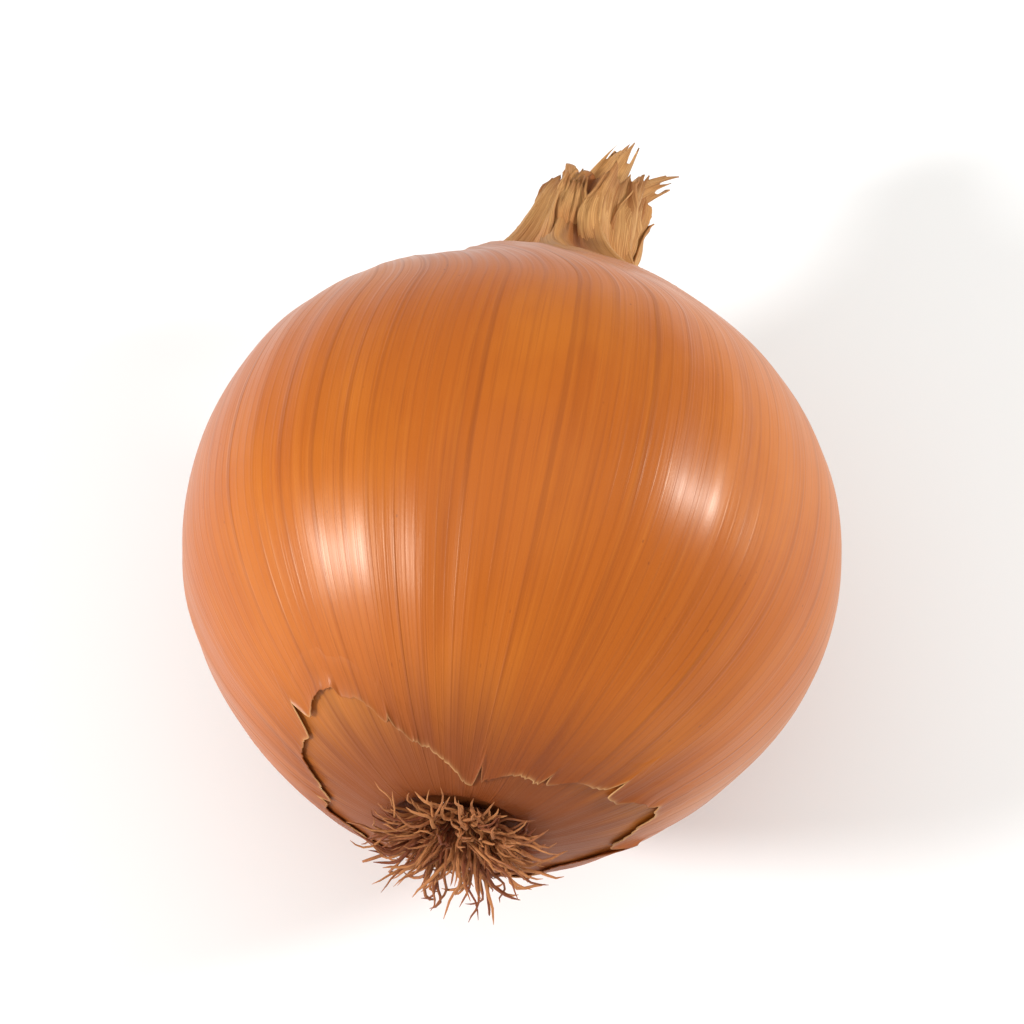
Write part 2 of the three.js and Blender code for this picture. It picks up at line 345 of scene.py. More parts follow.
def root_edge(turn):
    """Radius at which the outermost skin ends round the roots."""
    edge = SKIN_EDGE_RADIUS + waves(SKIN_EDGE_WAVES, TAU * turn) + COARSE_TEETH(turn) + FINE_TEETH(turn)
    for centre, half_width, depth in NOTCHES:
        away = np.abs(wrapped(turn - centre)) / half_width
        edge = edge + depth * np.maximum(0, 1 - away) ** NOTCH_SHARPNESS
    return edge


def split_opening(axial, side):
    """Half the width of the split, as a share of a turn, on its side number -1 or 1."""
    opened = SPLIT_HALF_WIDTH * smooth_step(SPLIT_FOOT, SPLIT_FOOT + SPLIT_OPENS_OVER, axial)
    walked = axial / SPLIT_TEETH_OVER + 0.5 * side
    torn = waves(SPLIT_WAVES, axial) + SPLIT_COARSE_TEETH(walked) + SPLIT_FINE_TEETH(walked)
    torn_share = smooth_step(SPLIT_FOOT, SPLIT_FOOT + SPLIT_WAVES_OVER, axial)
    return np.maximum(0, opened + torn * torn_share)


def outer_skin(angle, axial, radius):
    """1 where the outermost skin covers the bulb, 0 where it has come away."""
    turn = angle / TAU
    past_edge = smooth_step(-SKIN_EDGE_SOFTNESS, SKIN_EDGE_SOFTNESS, radius - root_edge(turn))
    above_roots = np.where(axial > 0, 1, past_edge)
    from_split = wrapped(turn - SPLIT_TURN)
    opening = np.where(from_split > 0, split_opening(axial, 1), split_opening(axial, -1))
    past_split = smooth_step(-SPLIT_SOFTNESS, SPLIT_SOFTNESS, np.abs(from_split) - opening)
    return above_roots * np.where(axial < SPLIT_FOOT, 1, past_split)


def pleating(axial):
    """0 on the globe, growing to 1 where the neck's pleats are full."""
    return smooth_step(PLEAT_START, PLEAT_FULL, axial)


def neck_turn(axial):
    """The angle by which the neck twisted as it dried."""
    return NECK_TWIST * pleating(axial) * axial / PLEAT_FULL


def pleat_phase(angle, axial):
    return PLEAT_COUNT * (angle + neck_turn(axial)) + PLEAT_BEND * np.sin(2 * angle)


def neck_folds(angle, axial, radius):
    """Height of the neck's pleats and creases: sharp folds, some deeper than others."""
    untwisted = angle + neck_turn(axial)
    share = PLEAT_SHARE + PLEAT_SHARE_CHANGE * np.sin(PLEAT_SHARE_COUNT * untwisted + 1)
    folds = PLEAT_HEIGHT * np.cos(pleat_phase(angle, axial)) * share
    for rate, mean, sharpness, height, bends, bend, slant in NECK_CREASES:
        phase = rate * untwisted + bend * np.sin(bends * angle) + slant * axial
        folds = folds + height * (mean - np.abs(np.sin(phase)) ** sharpness)
    return pleating(axial) * np.minimum(1, radius / FOLDS_FULL_AT) * folds


def round_axis(radius, angle, axial):
    """Points at a radius from the axis, an angle round it and a distance along it."""
    radius, angle, axial = np.broadcast_arrays(radius, angle, axial)
    return np.stack([radius * np.cos(angle), radius * np.sin(angle), axial], axis=-1)


def leaning(points):
    """Points moved with the lean of the neck."""
    share = np.maximum(0, points[..., 2:] - LEAN_FROM) / LEAN_OVER
    return points + share**2 * np.array([LEAN_SIDE, LEAN_DOWN, 0])


def surface(angle, length, lift):
    """Points of the bulb's surface, raised by lift, at angles round it and lengths along its outline."""
    angle, axial, radius = np.broadcast_arrays(angle, *outline_at(share_at_length(length)))
    broad = sum(height * np.cos(count * angle + phase) for count, height, phase in LOBES)
    rib_share = RIB_SHARE + RIB_SHARE_CHANGE * np.sin(RIB_SHARE_COUNT * angle + axial / RIB_SHARE_LENGTH)
    ribs = RIB_HEIGHT * np.cos(RIB_COUNT * angle + waves(RIB_BENDS, angle)) * rib_share
    bare = round_axis(radius, angle, axial)
    dents = DENT_HEIGHT * DENTS(bare) * np.minimum(1, radius / DENTS_FULL_AT)
    crinkles = CRINKLE_HEIGHT * CRINKLES(bare) * (CRINKLES_ON_GLOBE + pleating(axial))
    raised = (ribs + lift + dents + crinkles) * np.minimum(1, radius / RELIEF_FULL_AT)
    relief = broad * radius / BULB_RADIUS + raised + neck_folds(angle, axial, radius)
    r = radius + np.where(radius > AXIS_RADIUS, relief, 0)
    at_rim = np.exp(-((length - NECK_RIM_LENGTH) / NECK_RIM_REACH) ** 2)
    axial = axial + at_rim * NECK_TEETH((angle + neck_turn(axial)) / TAU)
    return leaning(round_axis(r, angle, axial))


def skin_place(angle, length):
    """Cosine and sine of a point's angle before the neck twisted, and its place along the axis."""
    axial, _ = outline_at(share_at_length(length))
    return round_axis(1, angle + neck_turn(axial), axial / BULB_RADIUS)


# Placing and making pieces

SEAT_ROWS = 240
SEAT_COLUMNS = 361


def laid_over(points):
    """The onion's own frame laid on its side, neck a little down."""
    c, s = -math.sin(NECK_DROOP), math.cos(NECK_DROOP)
    x, y, z = points[..., 0], points[..., 1], points[..., 2]
    return np.stack([x, c * y + s * z, -s * y + c * z], axis=-1)


def seat():
    """The move, in millimetres, that sets the laid-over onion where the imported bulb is."""
    angles = np.linspace(0, TAU, SEAT_COLUMNS)[None, :]
    lengths = np.linspace(0, length_at_axial(SHEATH_BASE), SEAT_ROWS)[:, None]
    points = laid_over(surface(angles, lengths, SKIN_STEP)).reshape(-1, 3)
    low, high = points.min(axis=0), points.max(axis=0)
    cad_low, cad_high = (np.array(corner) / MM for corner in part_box("bulb"))
    middle = (cad_low[0] + cad_high[0] - low[0] - high[0]) / 2
    return np.array([middle, cad_low[1] - low[1], cad_high[2] - high[2]])


SEAT = seat()


def placed(points):
    """Points of the onion's own frame in the row frame, in metres, none of them below the ground."""
    world = (laid_over(np.asarray(points, float).reshape(-1, 3)) + SEAT) * MM
    world[:, 2] = np.maximum(world[:, 2], 0)
    return world


def sheet_faces(rows, columns, closed=False):
    """Quads of a grid of points; a closed grid joins its last column to its first."""
    i = np.arange(rows - 1)[:, None] * columns
    j = np.arange(columns if closed else columns - 1)
    k = (j + 1) % columns
    return np.stack([i + j, i + k, i + columns + k, i + columns + j], axis=-1).reshape(-1, 4).tolist()


def note(mesh, name, values):
    """Keeps a number or a vector for each point of a mesh, for its material to read."""
    values = np.asarray(values, np.float32)
    vector = values.ndim > 1
    attribute = mesh.attributes.new(name, "FLOAT_VECTOR" if vector else "FLOAT", "POINT")
    attribute.data.foreach_set("vector" if vector else "value", values.ravel())


def add_object(name, data):
    made = bpy.data.objects.new(name, data)
    bpy.context.scene.collection.objects.link(made)
    return made


def smooth_object(name, points, faces, material):
    """A smoothly shaded mesh object of one material."""
    mesh = bpy.data.meshes.new(name)
    mesh.from_pydata(points.tolist(), [], faces)
    mesh.shade_smooth()
    mesh.materials.append(material)
    return add_object(name, mesh)


def make_piece(name, points, faces, material, notes, nodes=()):
    """A smooth piece that rides on the onion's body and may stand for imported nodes."""
    piece = smooth_object(name, placed(points), faces, material)
    for key, values in notes.items():
        note(piece.data, key, values)
    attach(piece, BODY)
    if nodes:
        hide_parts(*nodes)
    return piece


def thicken(piece, thickness):
    """Gives a papery sheet its thickness, inwards from its outer face."""
    solid = piece.modifiers.new("Thickness", "SOLIDIFY")
    solid.thickness = thickness
    solid.offset = -1


# Materials

class Recipe:
    """A material being made: each call adds a node or more and gives back a socket."""

    def __init__(self, name, **fixed):
        self.material = bpy.data.materials.new(name)
        self.material.use_nodes = True
        self.tree = self.material.node_tree
        self.shader = self.tree.nodes["Principled BSDF"]
        for socket, value in fixed.items():
            self.shader.inputs[socket.replace("_", " ")].default_value = value

    def feed(self, socket, value):
        if isinstance(value, bpy.types.NodeSocket):
            self.tree.links.new(value, socket)
        else:
            socket.default_value = value

    def add(self, kind, feeds, out=0, **choices):
        node = self.tree.nodes.new(kind)
        for name, value in choices.items():
            setattr(node, name, value)
        for key, value in feeds.items():
            self.feed(node.inputs[key], value)
        return node.outputs[out]

    def noted(self, name, out="Fac"):
        return self.add("ShaderNodeAttribute", {}, out, attribute_name=name)

    def math(self, operation, *values):
        return self.add("ShaderNodeMath", dict(enumerate(values)), operation=operation)

    def split(self, vector):
        node = self.tree.nodes.new("ShaderNodeSeparateXYZ")
        self.tree.links.new(vector, node.inputs[0])
        return node.outputs

    def scaled(self, vector, scales):
        return self.add("ShaderNodeVectorMath", {0: vector, 1: scales}, operation="MULTIPLY")

    def noise(self, vector, scales, detail, rough):
        feeds = {"Vector": self.scaled(vector, scales), "Scale": 1, "Detail": detail, "Roughness": rough}
        return self.add("ShaderNodeTexNoise", feeds)

    def spots(self, vector, scales):
        feeds = {"Vector": self.scaled(vector, scales), "Scale": 1, "Randomness": 1}
        return self.add("ShaderNodeTexVoronoi", feeds)

    def ramp(self, value, low, high, first=0, last=1):
        feeds = {"Value": value, "From Min": low, "From Max": high, "To Min": first, "To Max": last}
        return self.add("ShaderNodeMapRange", feeds, interpolation_type="SMOOTHSTEP")

    def mix(self, share, first, second):
        node = self.tree.nodes.new("ShaderNodeMix")
        node.data_type = "RGBA"
        colours = [s for s in node.inputs if s.type == "RGBA"]
        self.feed(node.inputs[0], share)
        for socket, value in zip(colours, (first, second)):
            self.feed(socket, value if isinstance(value, bpy.types.NodeSocket) else (*value, 1))
        return next(s for s in node.outputs if s.type == "RGBA")

    def layer(self, colour, tone, value, *change):
        """A colour that takes on another tone along a ramp of a value."""
        return self.mix(self.ramp(value, *change), colour, tone)

    def finish(self, colour, roughness, height, depth):
        """Joins the colour, the roughness and a height in 0 to 1 that stands for depth in metres."""
        bump = self.add("ShaderNodeBump", {"Height": height, "Distance": depth, "Strength": 1})
        self.tree.links.new(colour, self.shader.inputs["Base Color"])
        self.tree.links.new(roughness, self.shader.inputs["Roughness"])
        self.tree.links.new(bump, self.shader.inputs["Normal"])
        return self.material


# Bends of the veins as (how many, height, phase), how far they wander, and where on a vein's ridge its
# line begins
VEIN_BENDS = ((3, 1.6, 0.0), (7, 1.0, 1.3), (13, 0.6, 0.4))
VEIN_WANDER = 1.3
VEIN_THIN = 0.955
FINE_VEIN_THIN = 0.90
FINE_VEINS_FOR_EACH = 3


def veins_of(recipe, place, count, wander, thin):
    """1 on fine lines that run from the roots to the neck, count of them round the bulb."""
    cosine, sine, _ = recipe.split(place)
    angle = recipe.math("ARCTAN2", sine, cosine)
    phase = recipe.math("MULTIPLY", angle, count)
    for rate, strength, start in VEIN_BENDS:
        wave = recipe.math("SINE", recipe.math("MULTIPLY_ADD", angle, rate, start))
        phase = recipe.math("MULTIPLY_ADD", wave, strength, phase)
    phase = recipe.math("MULTIPLY_ADD", wander, VEIN_WANDER, phase)
    ridge = recipe.math("ABSOLUTE", recipe.math("COSINE", recipe.math("MULTIPLY", phase, 0.5)))
    return recipe.ramp(ridge, thin, 1)


# Noises of the dry skin as (scales round and along the bulb, detail, roughness)
PATCHES = ((1.6, 1.6, 1.1), 4, 0.55)
STREAKS = ((9, 9, 0.6), 5, 0.6)
FINE_STREAKS = ((46, 46, 1.3), 4, 0.6)
HAIRS = ((150, 150, 3), 2, 0.6)
WANDER = ((2.5, 2.5, 1.4), 2, 0.55)
GRAIN = ((79.2, 79.2, 79.2), 3, 0.6)
VEIN_STRENGTH = ((6, 6, 0.9), 2, 0.55)
SPECKLING = ((5, 5, 5), 2, 0.55)
SPECK_SCALES = (28.8, 28.8, 20.8)

# Ramps of the dry skin: the values between which a share changes, and its first and last amount. Those
# at the neck and the roots go by the length walked along the outline, which streaks make uneven
GOLDEN_PATCHES = (0.38, 0.66, 0, 0.5)
RUSSET_STREAKS = (0.50, 0.78, 0, 0.42)
GOLDEN_STREAKS = (0.50, 0.74, 0, 0.28)
COPPER_IN_FRESH = (0.35, 0.65, 0, 0.5)
RUSSET_HAIRS = (0.54, 0.72)
STRONG_VEINS = (0.36, 0.66, 0.10, 0.75)
SPECKS = (0.05, 0.13, 0.6, 0)
SPECKLED = (0.55, 0.68)
STRAW_AT_NECK = (92, 116, 0, 0.85)
DRY_AT_NECK = (82, 106)
DRY_AT_ROOTS = (12, 34, 1, 0)
# Painted shade in the valleys of the neck's pleats comes in over this stretch of the length walked
PLEAT_SHADE_AT_NECK = (88, 108, 0, 0.75)
BROWN_AT_ROOTS = (24, 40, 0.9, 0)
STREAKED_AT_NECK = 16
STREAKED_AT_ROOTS = 22

# Shares of the hairs' and veins' colours, the change of roughness, and the shares of the bump's height
HAIR_SHARE = 0.22
HAIR_SHARE_AT_NECK = 0.30
VEIN_SHARE = 0.44
FINE_VEIN_SHARE = 0.13
SMOOTHEST = -0.04
ROUGHEST = 0.08
ROUGHER_AT_NECK = 0.28
ROUGHER_AT_ROOTS = 0.34
VEIN_BUMP = 0.42
FINE_VEIN_BUMP = 0.12
HAIR_BUMP = 0.20
STREAK_BUMP = 0.26
NECK_BUMP = 0.9
GRAIN_BUMP = 0.08
SKIN_BUMP_METRES = 0.0001
MIDDLE_OF_NOISE = (0.3, 0.7)


def papery_skin():
    """Dry copper skin: streaks, veins, specks, a dark root end and a straw-coloured neck, with painted shade
    in the valleys of the neck's pleats.
    """
    look = settings().skin
    recipe = Recipe("papery_skin", Coat_Weight=0.13, Coat_Roughness=0.24, Specular_IOR_Level=0.40,
                    Specular_Tint=(1.0, 0.86, 0.66, 1))
    place = recipe.noted("skin_place", "Vector")
    walked = recipe.noted("skin_walked")
    streaks = recipe.noise(place, *STREAKS)
    fine_streaks = recipe.noise(place, *FINE_STREAKS)
    hairs = recipe.noise(place, *HAIRS)
    wander = recipe.noise(place, *WANDER)
    at_neck = recipe.ramp(walked, *DRY_AT_NECK)

    colour = recipe.layer(look.copper, look.golden, recipe.noise(place, *PATCHES), *GOLDEN_PATCHES)
    colour = recipe.layer(colour, look.russet, streaks, *RUSSET_STREAKS)
    colour = recipe.layer(colour, look.golden, fine_streaks, *GOLDEN_STREAKS)
    fresh = recipe.layer(look.fresh, look.copper, streaks, *COPPER_IN_FRESH)
    colour = recipe.mix(recipe.noted("skin_bare"), colour, fresh)

    to_neck = recipe.math("MULTIPLY_ADD", streaks, STREAKED_AT_NECK, walked)
    colour = recipe.layer(colour, look.straw, to_neck, *STRAW_AT_NECK)
    # Painted shade: the valleys of the neck's pleats are darkened towards russet
    pleat_shade = recipe.math("MULTIPLY", recipe.noted("skin_pleat_shade"), recipe.ramp(walked, *PLEAT_SHADE_AT_NECK))
    colour = recipe.mix(pleat_shade, colour, look.russet)
    hair_share = recipe.math("MULTIPLY_ADD", at_neck, HAIR_SHARE_AT_NECK, HAIR_SHARE)
    dark_hairs = recipe.math("MULTIPLY", recipe.ramp(hairs, *RUSSET_HAIRS), hair_share)
    colour = recipe.mix(dark_hairs, colour, look.russet)

    strength = recipe.ramp(recipe.noise(place, *VEIN_STRENGTH), *STRONG_VEINS)
    veins = recipe.math("MULTIPLY", veins_of(recipe, place, look.veins, wander, VEIN_THIN), strength)
    fine_count = look.veins * FINE_VEINS_FOR_EACH + 1
    fine_veins = veins_of(recipe, place, fine_count, wander, FINE_VEIN_THIN)
    colour = recipe.mix(recipe.math("MULTIPLY", veins, VEIN_SHARE), colour, look.vein)
    colour = recipe.mix(recipe.math("MULTIPLY", fine_veins, FINE_VEIN_SHARE), colour, look.vein)

    specks = recipe.ramp(recipe.spots(place, SPECK_SCALES), *SPECKS)
    speckled = recipe.ramp(recipe.noise(place, *SPECKLING), *SPECKLED)
    colour = recipe.mix(recipe.math("MULTIPLY", specks, speckled), colour, look.root_brown)
    to_roots = recipe.math("MULTIPLY_ADD", streaks, STREAKED_AT_ROOTS, walked)
    colour = recipe.layer(colour, look.root_brown, to_roots, *BROWN_AT_ROOTS)
    colour = recipe.mix(recipe.noted("skin_edge"), colour, look.torn)

    smoothest, roughest = look.gloss + SMOOTHEST, look.gloss + ROUGHEST
    roughness = recipe.ramp(fine_streaks, *MIDDLE_OF_NOISE, smoothest, roughest)
    roughness = recipe.math("MULTIPLY_ADD", at_neck, ROUGHER_AT_NECK, roughness)
    at_roots = recipe.ramp(walked, *DRY_AT_ROOTS)
    roughness = recipe.math("MULTIPLY_ADD", at_roots, ROUGHER_AT_ROOTS, roughness)
    creased = recipe.math("MULTIPLY", recipe.math("ADD", fine_streaks, hairs), at_neck)
    height = recipe.math("MULTIPLY", veins, VEIN_BUMP)
    for part, share in ((fine_veins, FINE_VEIN_BUMP), (hairs, HAIR_BUMP), (fine_streaks, STREAK_BUMP),
                        (creased, NECK_BUMP), (recipe.noise(place, *GRAIN), GRAIN_BUMP)):
        height = recipe.math("MULTIPLY_ADD", part, share, height)
    return recipe.finish(colour, roughness, height, SKIN_BUMP_METRES)


# Noises and ramps of the sheath ends, across and along each of them
PAPER_LINES = ((26, 1.6, 1), 4, 0.6)
PAPER_BLOTCHES = ((3, 3, 1), 3, 0.55)
CREASED_LINES = (0.38, 0.68, 0, 0.75)
CREASED_BLOTCHES = (0.45, 0.7, 0, 0.5)
CREASED_TIP = (0.75, 1, 0, 0.6)
CREASED_FOOT = (0.42, 0.68, 0, 0.7)
FOOT_FADES = (0.15, 0.65, 1, 0)
PAPER_ROUGHNESS = (0.5, 0.75)
PAPER_BUMP_METRES = 0.0002


def sheath_paper():
    """Dry crinkled paper of the sheath ends, darker in its creases and at its tips."""
    look = settings().neck
    recipe = Recipe("sheath_paper", Specular_IOR_Level=0.4)
    place = recipe.noted("sheath_place", "Vector")
    _, along, _ = recipe.split(place)
    lines = recipe.noise(place, *PAPER_LINES)
    colour = recipe.layer(look.paper, look.crease, lines, *CREASED_LINES)
    colour = recipe.layer(colour, look.crease, recipe.noise(place, *PAPER_BLOTCHES), *CREASED_BLOTCHES)
    colour = recipe.layer(colour, look.crease, along, *CREASED_TIP)
    foot = recipe.layer(look.foot, look.crease, lines, *CREASED_FOOT)
    colour = recipe.layer(colour, foot, along, *FOOT_FADES)
    roughness = recipe.ramp(lines, *MIDDLE_OF_NOISE, *PAPER_ROUGHNESS)
    return recipe.finish(colour, roughness, lines, PAPER_BUMP_METRES)


# Noises and ramps of the roots and their plate
ROOT_RINGS = ((3, 3, 3), 3, 0.55)
ROOT_RING_SHARE = 0.6
ROOT_SHADES = (0.25, 1.2)
ROOT_ROUGHNESS = (0.6, 0.85)
ROOT_BUMP_METRES = 0.0001
CORK_LUMPS = ((1.4, 1.4, 1.4), 5, 0.65)
CORK_PIT_SCALES = (1.6, 1.6, 1.6)
CORK_SHADES = (0.35, 0.65)
CORK_PITS = (0.05, 0.3, 0.7, 0)
CORK_ROUGHNESS = (0.75, 0.95)
CORK_BUMP_METRES = 0.0004


def dried_root():
    """Wiry dried roots, each of its own shade."""
    look = settings().roots
    recipe = Recipe("dried_root", Specular_IOR_Level=0.35)
    rings = recipe.noise(recipe.noted("root_place", "Vector"), *ROOT_RINGS)
    share = recipe.math("MULTIPLY_ADD", rings, ROOT_RING_SHARE, recipe.noted("root_shade"))
    colour = recipe.layer(look.dark, look.pale, share, *ROOT_SHADES)
    roughness = recipe.ramp(rings, *MIDDLE_OF_NOISE, *ROOT_ROUGHNESS)
    return recipe.finish(colour, roughness, rings, ROOT_BUMP_METRES)


def root_cork():
    """The corky plate that the roots leave."""
    look = settings().roots
    recipe = Recipe("root_cork", Specular_IOR_Level=0.3)
    place = recipe.noted("root_place", "Vector")
    lumps = recipe.noise(place, *CORK_LUMPS)
    pits = recipe.spots(place, CORK_PIT_SCALES)
    colour = recipe.layer(look.dark, look.cork, lumps, *CORK_SHADES)
    colour = recipe.layer(colour, look.dark, pits, *CORK_PITS)
    roughness = recipe.ramp(lumps, *MIDDLE_OF_NOISE, *CORK_ROUGHNESS)
    return recipe.finish(colour, roughness, recipe.math("ADD", lumps, pits), CORK_BUMP_METRES)


def studio_floor():
    """Smooth pale matt floor."""
    floor_colour = (*settings().studio.floor, 1)
    return Recipe("studio_floor", Base_Color=floor_colour, Specular_IOR_Level=0.2, Roughness=0.85).material


# Bulb

BULB_ROWS = 236
BULB_COLUMNS = 408
ROW_SAMPLES = 4000

# How much closer together the rows are at the torn edge and at the neck
EDGE_ROWS_CLOSER = 1.0
EDGE_ROWS_REACH = 7
NECK_ROWS_CLOSER = 0.5
NECK_ROWS_FROM = 80
NECK_ROWS_FULL = 105

# Places on the skin of the two ends of the axis
ROOT_END_PLACE = (1, 0, -1)
NECK_END_PLACE = (1, 0, 1.4)


def bulb_lengths():
    """Lengths along the outline for the rows of the bulb, closer together at the torn edge and the neck."""
    walked = np.linspace(0, WALK_LENGTH[-1], ROW_SAMPLES)
    from_edge = (walked - root_side(SKIN_EDGE_RADIUS, WALK_LENGTH)) / EDGE_ROWS_REACH
    near_neck = smooth_step(NECK_ROWS_FROM, NECK_ROWS_FULL, walked)
    density = 1 + EDGE_ROWS_CLOSER * np.exp(-from_edge**2) + NECK_ROWS_CLOSER * near_neck
    total = np.cumsum(density)
    rows = np.linspace(total[0], total[-1], BULB_ROWS + 2)[1:-1]
    return np.interp(rows, total, walked)


def skin_notes(places, walked, bare=0, fold=0, edge=0):
    """What the papery skin reads at each point."""
    numbers = {"skin_walked": walked, "skin_bare": bare, "skin_pleat_shade": fold, "skin_edge": edge}
    numbers = {name: value + np.zeros(len(places)) for name, value in numbers.items()}
    return {"skin_place": places, **numbers}


def with_ends(values, root_end=0, neck_end=0):
    """Values of the bulb's grid, and those of the two ends of its axis after them."""
    ends = np.array([root_end, neck_end], float)
    return np.concatenate([values.reshape(-1, *ends.shape[1:]), ends])


class ONION_OT_bulb(bpy.types.Operator):
    """Build the bulb with its dry skin, its torn window and its pleated neck"""

    bl_idname = "onion.bulb"
    bl_label = "Bulb"

    def execute(self, context):
        lengths = bulb_lengths()[:, None]
        angles = np.linspace(0, TAU, BULB_COLUMNS, endpoint=False)[None, :]
        axial, radius = outline_at(share_at_length(lengths))
        covered = outer_skin(angles, axial, radius)
        grid = surface(angles, lengths, SKIN_STEP * covered * (1 - pleating(axial)))
        points = with_ends(grid, *leaning(np.array([(0, 0, WALK_AXIAL[0]), (0, 0, WALK_AXIAL[-1])])))
        first, last = len(points) - 2, len(points) - 1
        faces = sheet_faces(BULB_ROWS, BULB_COLUMNS, closed=True)
        top = (BULB_ROWS - 1) * BULB_COLUMNS
        for j in range(BULB_COLUMNS):
            k = (j + 1) % BULB_COLUMNS
            faces.append((first, k, j))
            faces.append((last, top + j, top + k))
        places = with_ends(skin_place(angles, lengths), ROOT_END_PLACE, NECK_END_PLACE)
        walked = with_ends(lengths + 0 * angles, 0, WALK_LENGTH[-1])
        # 1 in the valleys of the neck's pleats, 0 on their crests: where the skin's material paints shade
        fold = with_ends(0.5 - 0.5 * np.cos(pleat_phase(angles, axial)))
        notes = skin_notes(places, walked, with_ends(1 - covered), fold)
        make_piece("onion_bulb", points, faces, papery_skin(), notes, ["bulb"])
        return {"FINISHED"}


# Torn skin: distances from a torn edge back over the skin, closer together at the edge, and the form of
# the strip between them
EDGE_ROWS = np.array([-0.9, -0.75, -0.55, -0.3, 0, 0.35, 0.75, 1.2, 1.8, 2.5, 3.3, 4.3, 5.5])
EDGE_BURIED = 0.18
EDGE_CLEARANCE = 0.10
CURL_REACH = 3.2
CURL_SHARPNESS = 2.2
BURIED_FROM = 3.4

# The pale line on a torn edge: its breadth, its strength, and how that changes round and along the bulb
PALE_REACH = 0.25
PALE_STRENGTH = 0.35
PALE_COUNT = 9
PALE_LENGTH = 3

# Steps along the torn edges, seeds and counts of their curls, and how the split's strips narrow
ROOT_EDGE_STEPS = 1100
ROOT_CURLS = ragged(seed=31, count=40, height=1)
ROOT_CURL_SHARE = 0.55
SPLIT_EDGE_STEPS = 420
SPLIT_CURL_SEED = 32
SPLIT_CURL_COUNT = 60
STRIP_NARROWEST = 0.03
STRIP_WIDENS_OVER = 10


def edge_lift(back, curl):
    """Height over the bare bulb of a torn strip of skin, at distances back from its edge."""
    out = np.clip(1 - (back - EDGE_ROWS[0]) / CURL_REACH, 0, 1)
    under = smooth_step(BURIED_FROM, EDGE_ROWS[-1], back)
    return SKIN_STEP + EDGE_CLEARANCE + curl * out**CURL_SHARPNESS - (EDGE_CLEARANCE + EDGE_BURIED) * under


def torn_strip(name, edge_angle, edge_length, back_angle, back_length, curl, breadth, closed):
    """A strip of skin along a torn edge. Each point of the edge has its angle and length, a way back
    over the skin, and the share of the strip's whole breadth that it has there."""
    back = EDGE_ROWS[:, None]
    behind = (back - EDGE_ROWS[0]) * breadth[None, :]
    angles = edge_angle[None, :] + back_angle[None, :] * behind
    lengths = edge_length[None, :] + back_length[None, :] * behind
    axial, _ = outline_at(share_at_length(lengths))
    lowest = SKIN_STEP - EDGE_BURIED
    stands = lowest + (edge_lift(back, curl[None, :]) - lowest) * breadth[None, :]
    grid = surface(angles, lengths, blend(stands, -EDGE_BURIED, pleating(axial)))
    strength = PALE_STRENGTH * (1 + np.sin(PALE_COUNT * angles + lengths / PALE_LENGTH))
    pale = np.exp(-(back - EDGE_ROWS[0]) / PALE_REACH) * strength
    notes = skin_notes(skin_place(angles, lengths).reshape(-1, 3), lengths.ravel(), edge=pale.ravel())
    faces = sheet_faces(*grid.shape[:2], closed)
    material = bpy.data.materials["papery_skin"]
    piece = make_piece(name, grid.reshape(-1, 3), faces, material, notes)
    thicken(piece, settings().skin.thickness)


class ONION_OT_torn_skin(bpy.types.Operator):
    """Build the thin curled edges of the outermost skin, round the roots and beside the split"""

    bl_idname = "onion.torn_skin"
    bl_label = "Torn skin"

    def execute(self, context):
        curl = settings().skin.curl / MM
        reach = -EDGE_ROWS[0]

        turns = np.linspace(0, 1, ROOT_EDGE_STEPS, endpoint=False)
        lengths = root_side(root_edge(turns), WALK_LENGTH) - reach
        curls = curl * (ROOT_CURL_SHARE + (1 - ROOT_CURL_SHARE) * ROOT_CURLS(turns))
        whole = np.ones_like(turns)
        torn_strip("torn_root_edge", TAU * turns, lengths, 0 * turns, whole, curls, whole, True)

        axial = np.linspace(SPLIT_FOOT, SPLIT_END, SPLIT_EDGE_STEPS)
        breadth = blend(STRIP_NARROWEST, 1, smooth_step(SPLIT_FOOT, SPLIT_FOOT + STRIP_WIDENS_OVER, axial))
        lengths = length_at_axial(axial)
        _, radius = outline_at(share_at_length(lengths))
        for side, name in ((-1, "torn_split_upper"), (1, "torn_split_lower")):
            turns = SPLIT_TURN + side * split_opening(axial, side)
            back_angle = side / radius
            angles = TAU * turns - reach * breadth * back_angle
            uneven_curl = ragged(SPLIT_CURL_SEED + side, SPLIT_CURL_COUNT, 1)(axial / SPLIT_TEETH_OVER)
            curls = curl * (0.5 + 0.5 * uneven_curl)
            torn_strip(name, angles, lengths, back_angle, 0 * radius, curls, breadth, False)
        return {"FINISHED"}


# Neck: rows and columns of each sheet, and the seeds of the two kinds
SHEET_ROWS = 44
SHEET_COLUMNS = 25
SHEATH_SEED = 17
WRAP_SEED = 200
WRAP_PLACE = 20

# Form of a sheath end, in shares of its length. Crinkles are (height, radians across, radians along)
SHEATH_TEETH = 9
SHEATH_TOOTH = (0.72, 1.0)
SHEATH_TORN_FROM = 0.3
SHEATH_TIP_NARROWED = 0.7
SHEATH_NARROWS_LATE = 2.5
SHEATH_CREASE = 0.32
SHEATH_CREASE_RATE = (7, 10)
SHEATH_CREASE_AT_FOOT = 0.3
SHEATH_CRINKLE = (0.22, 4, 9)
SHEATH_CURL = (-0.6, 1.4)
SHEATH_PUCKER = 0.12
SHEATH_PUCKER_RATE = 5

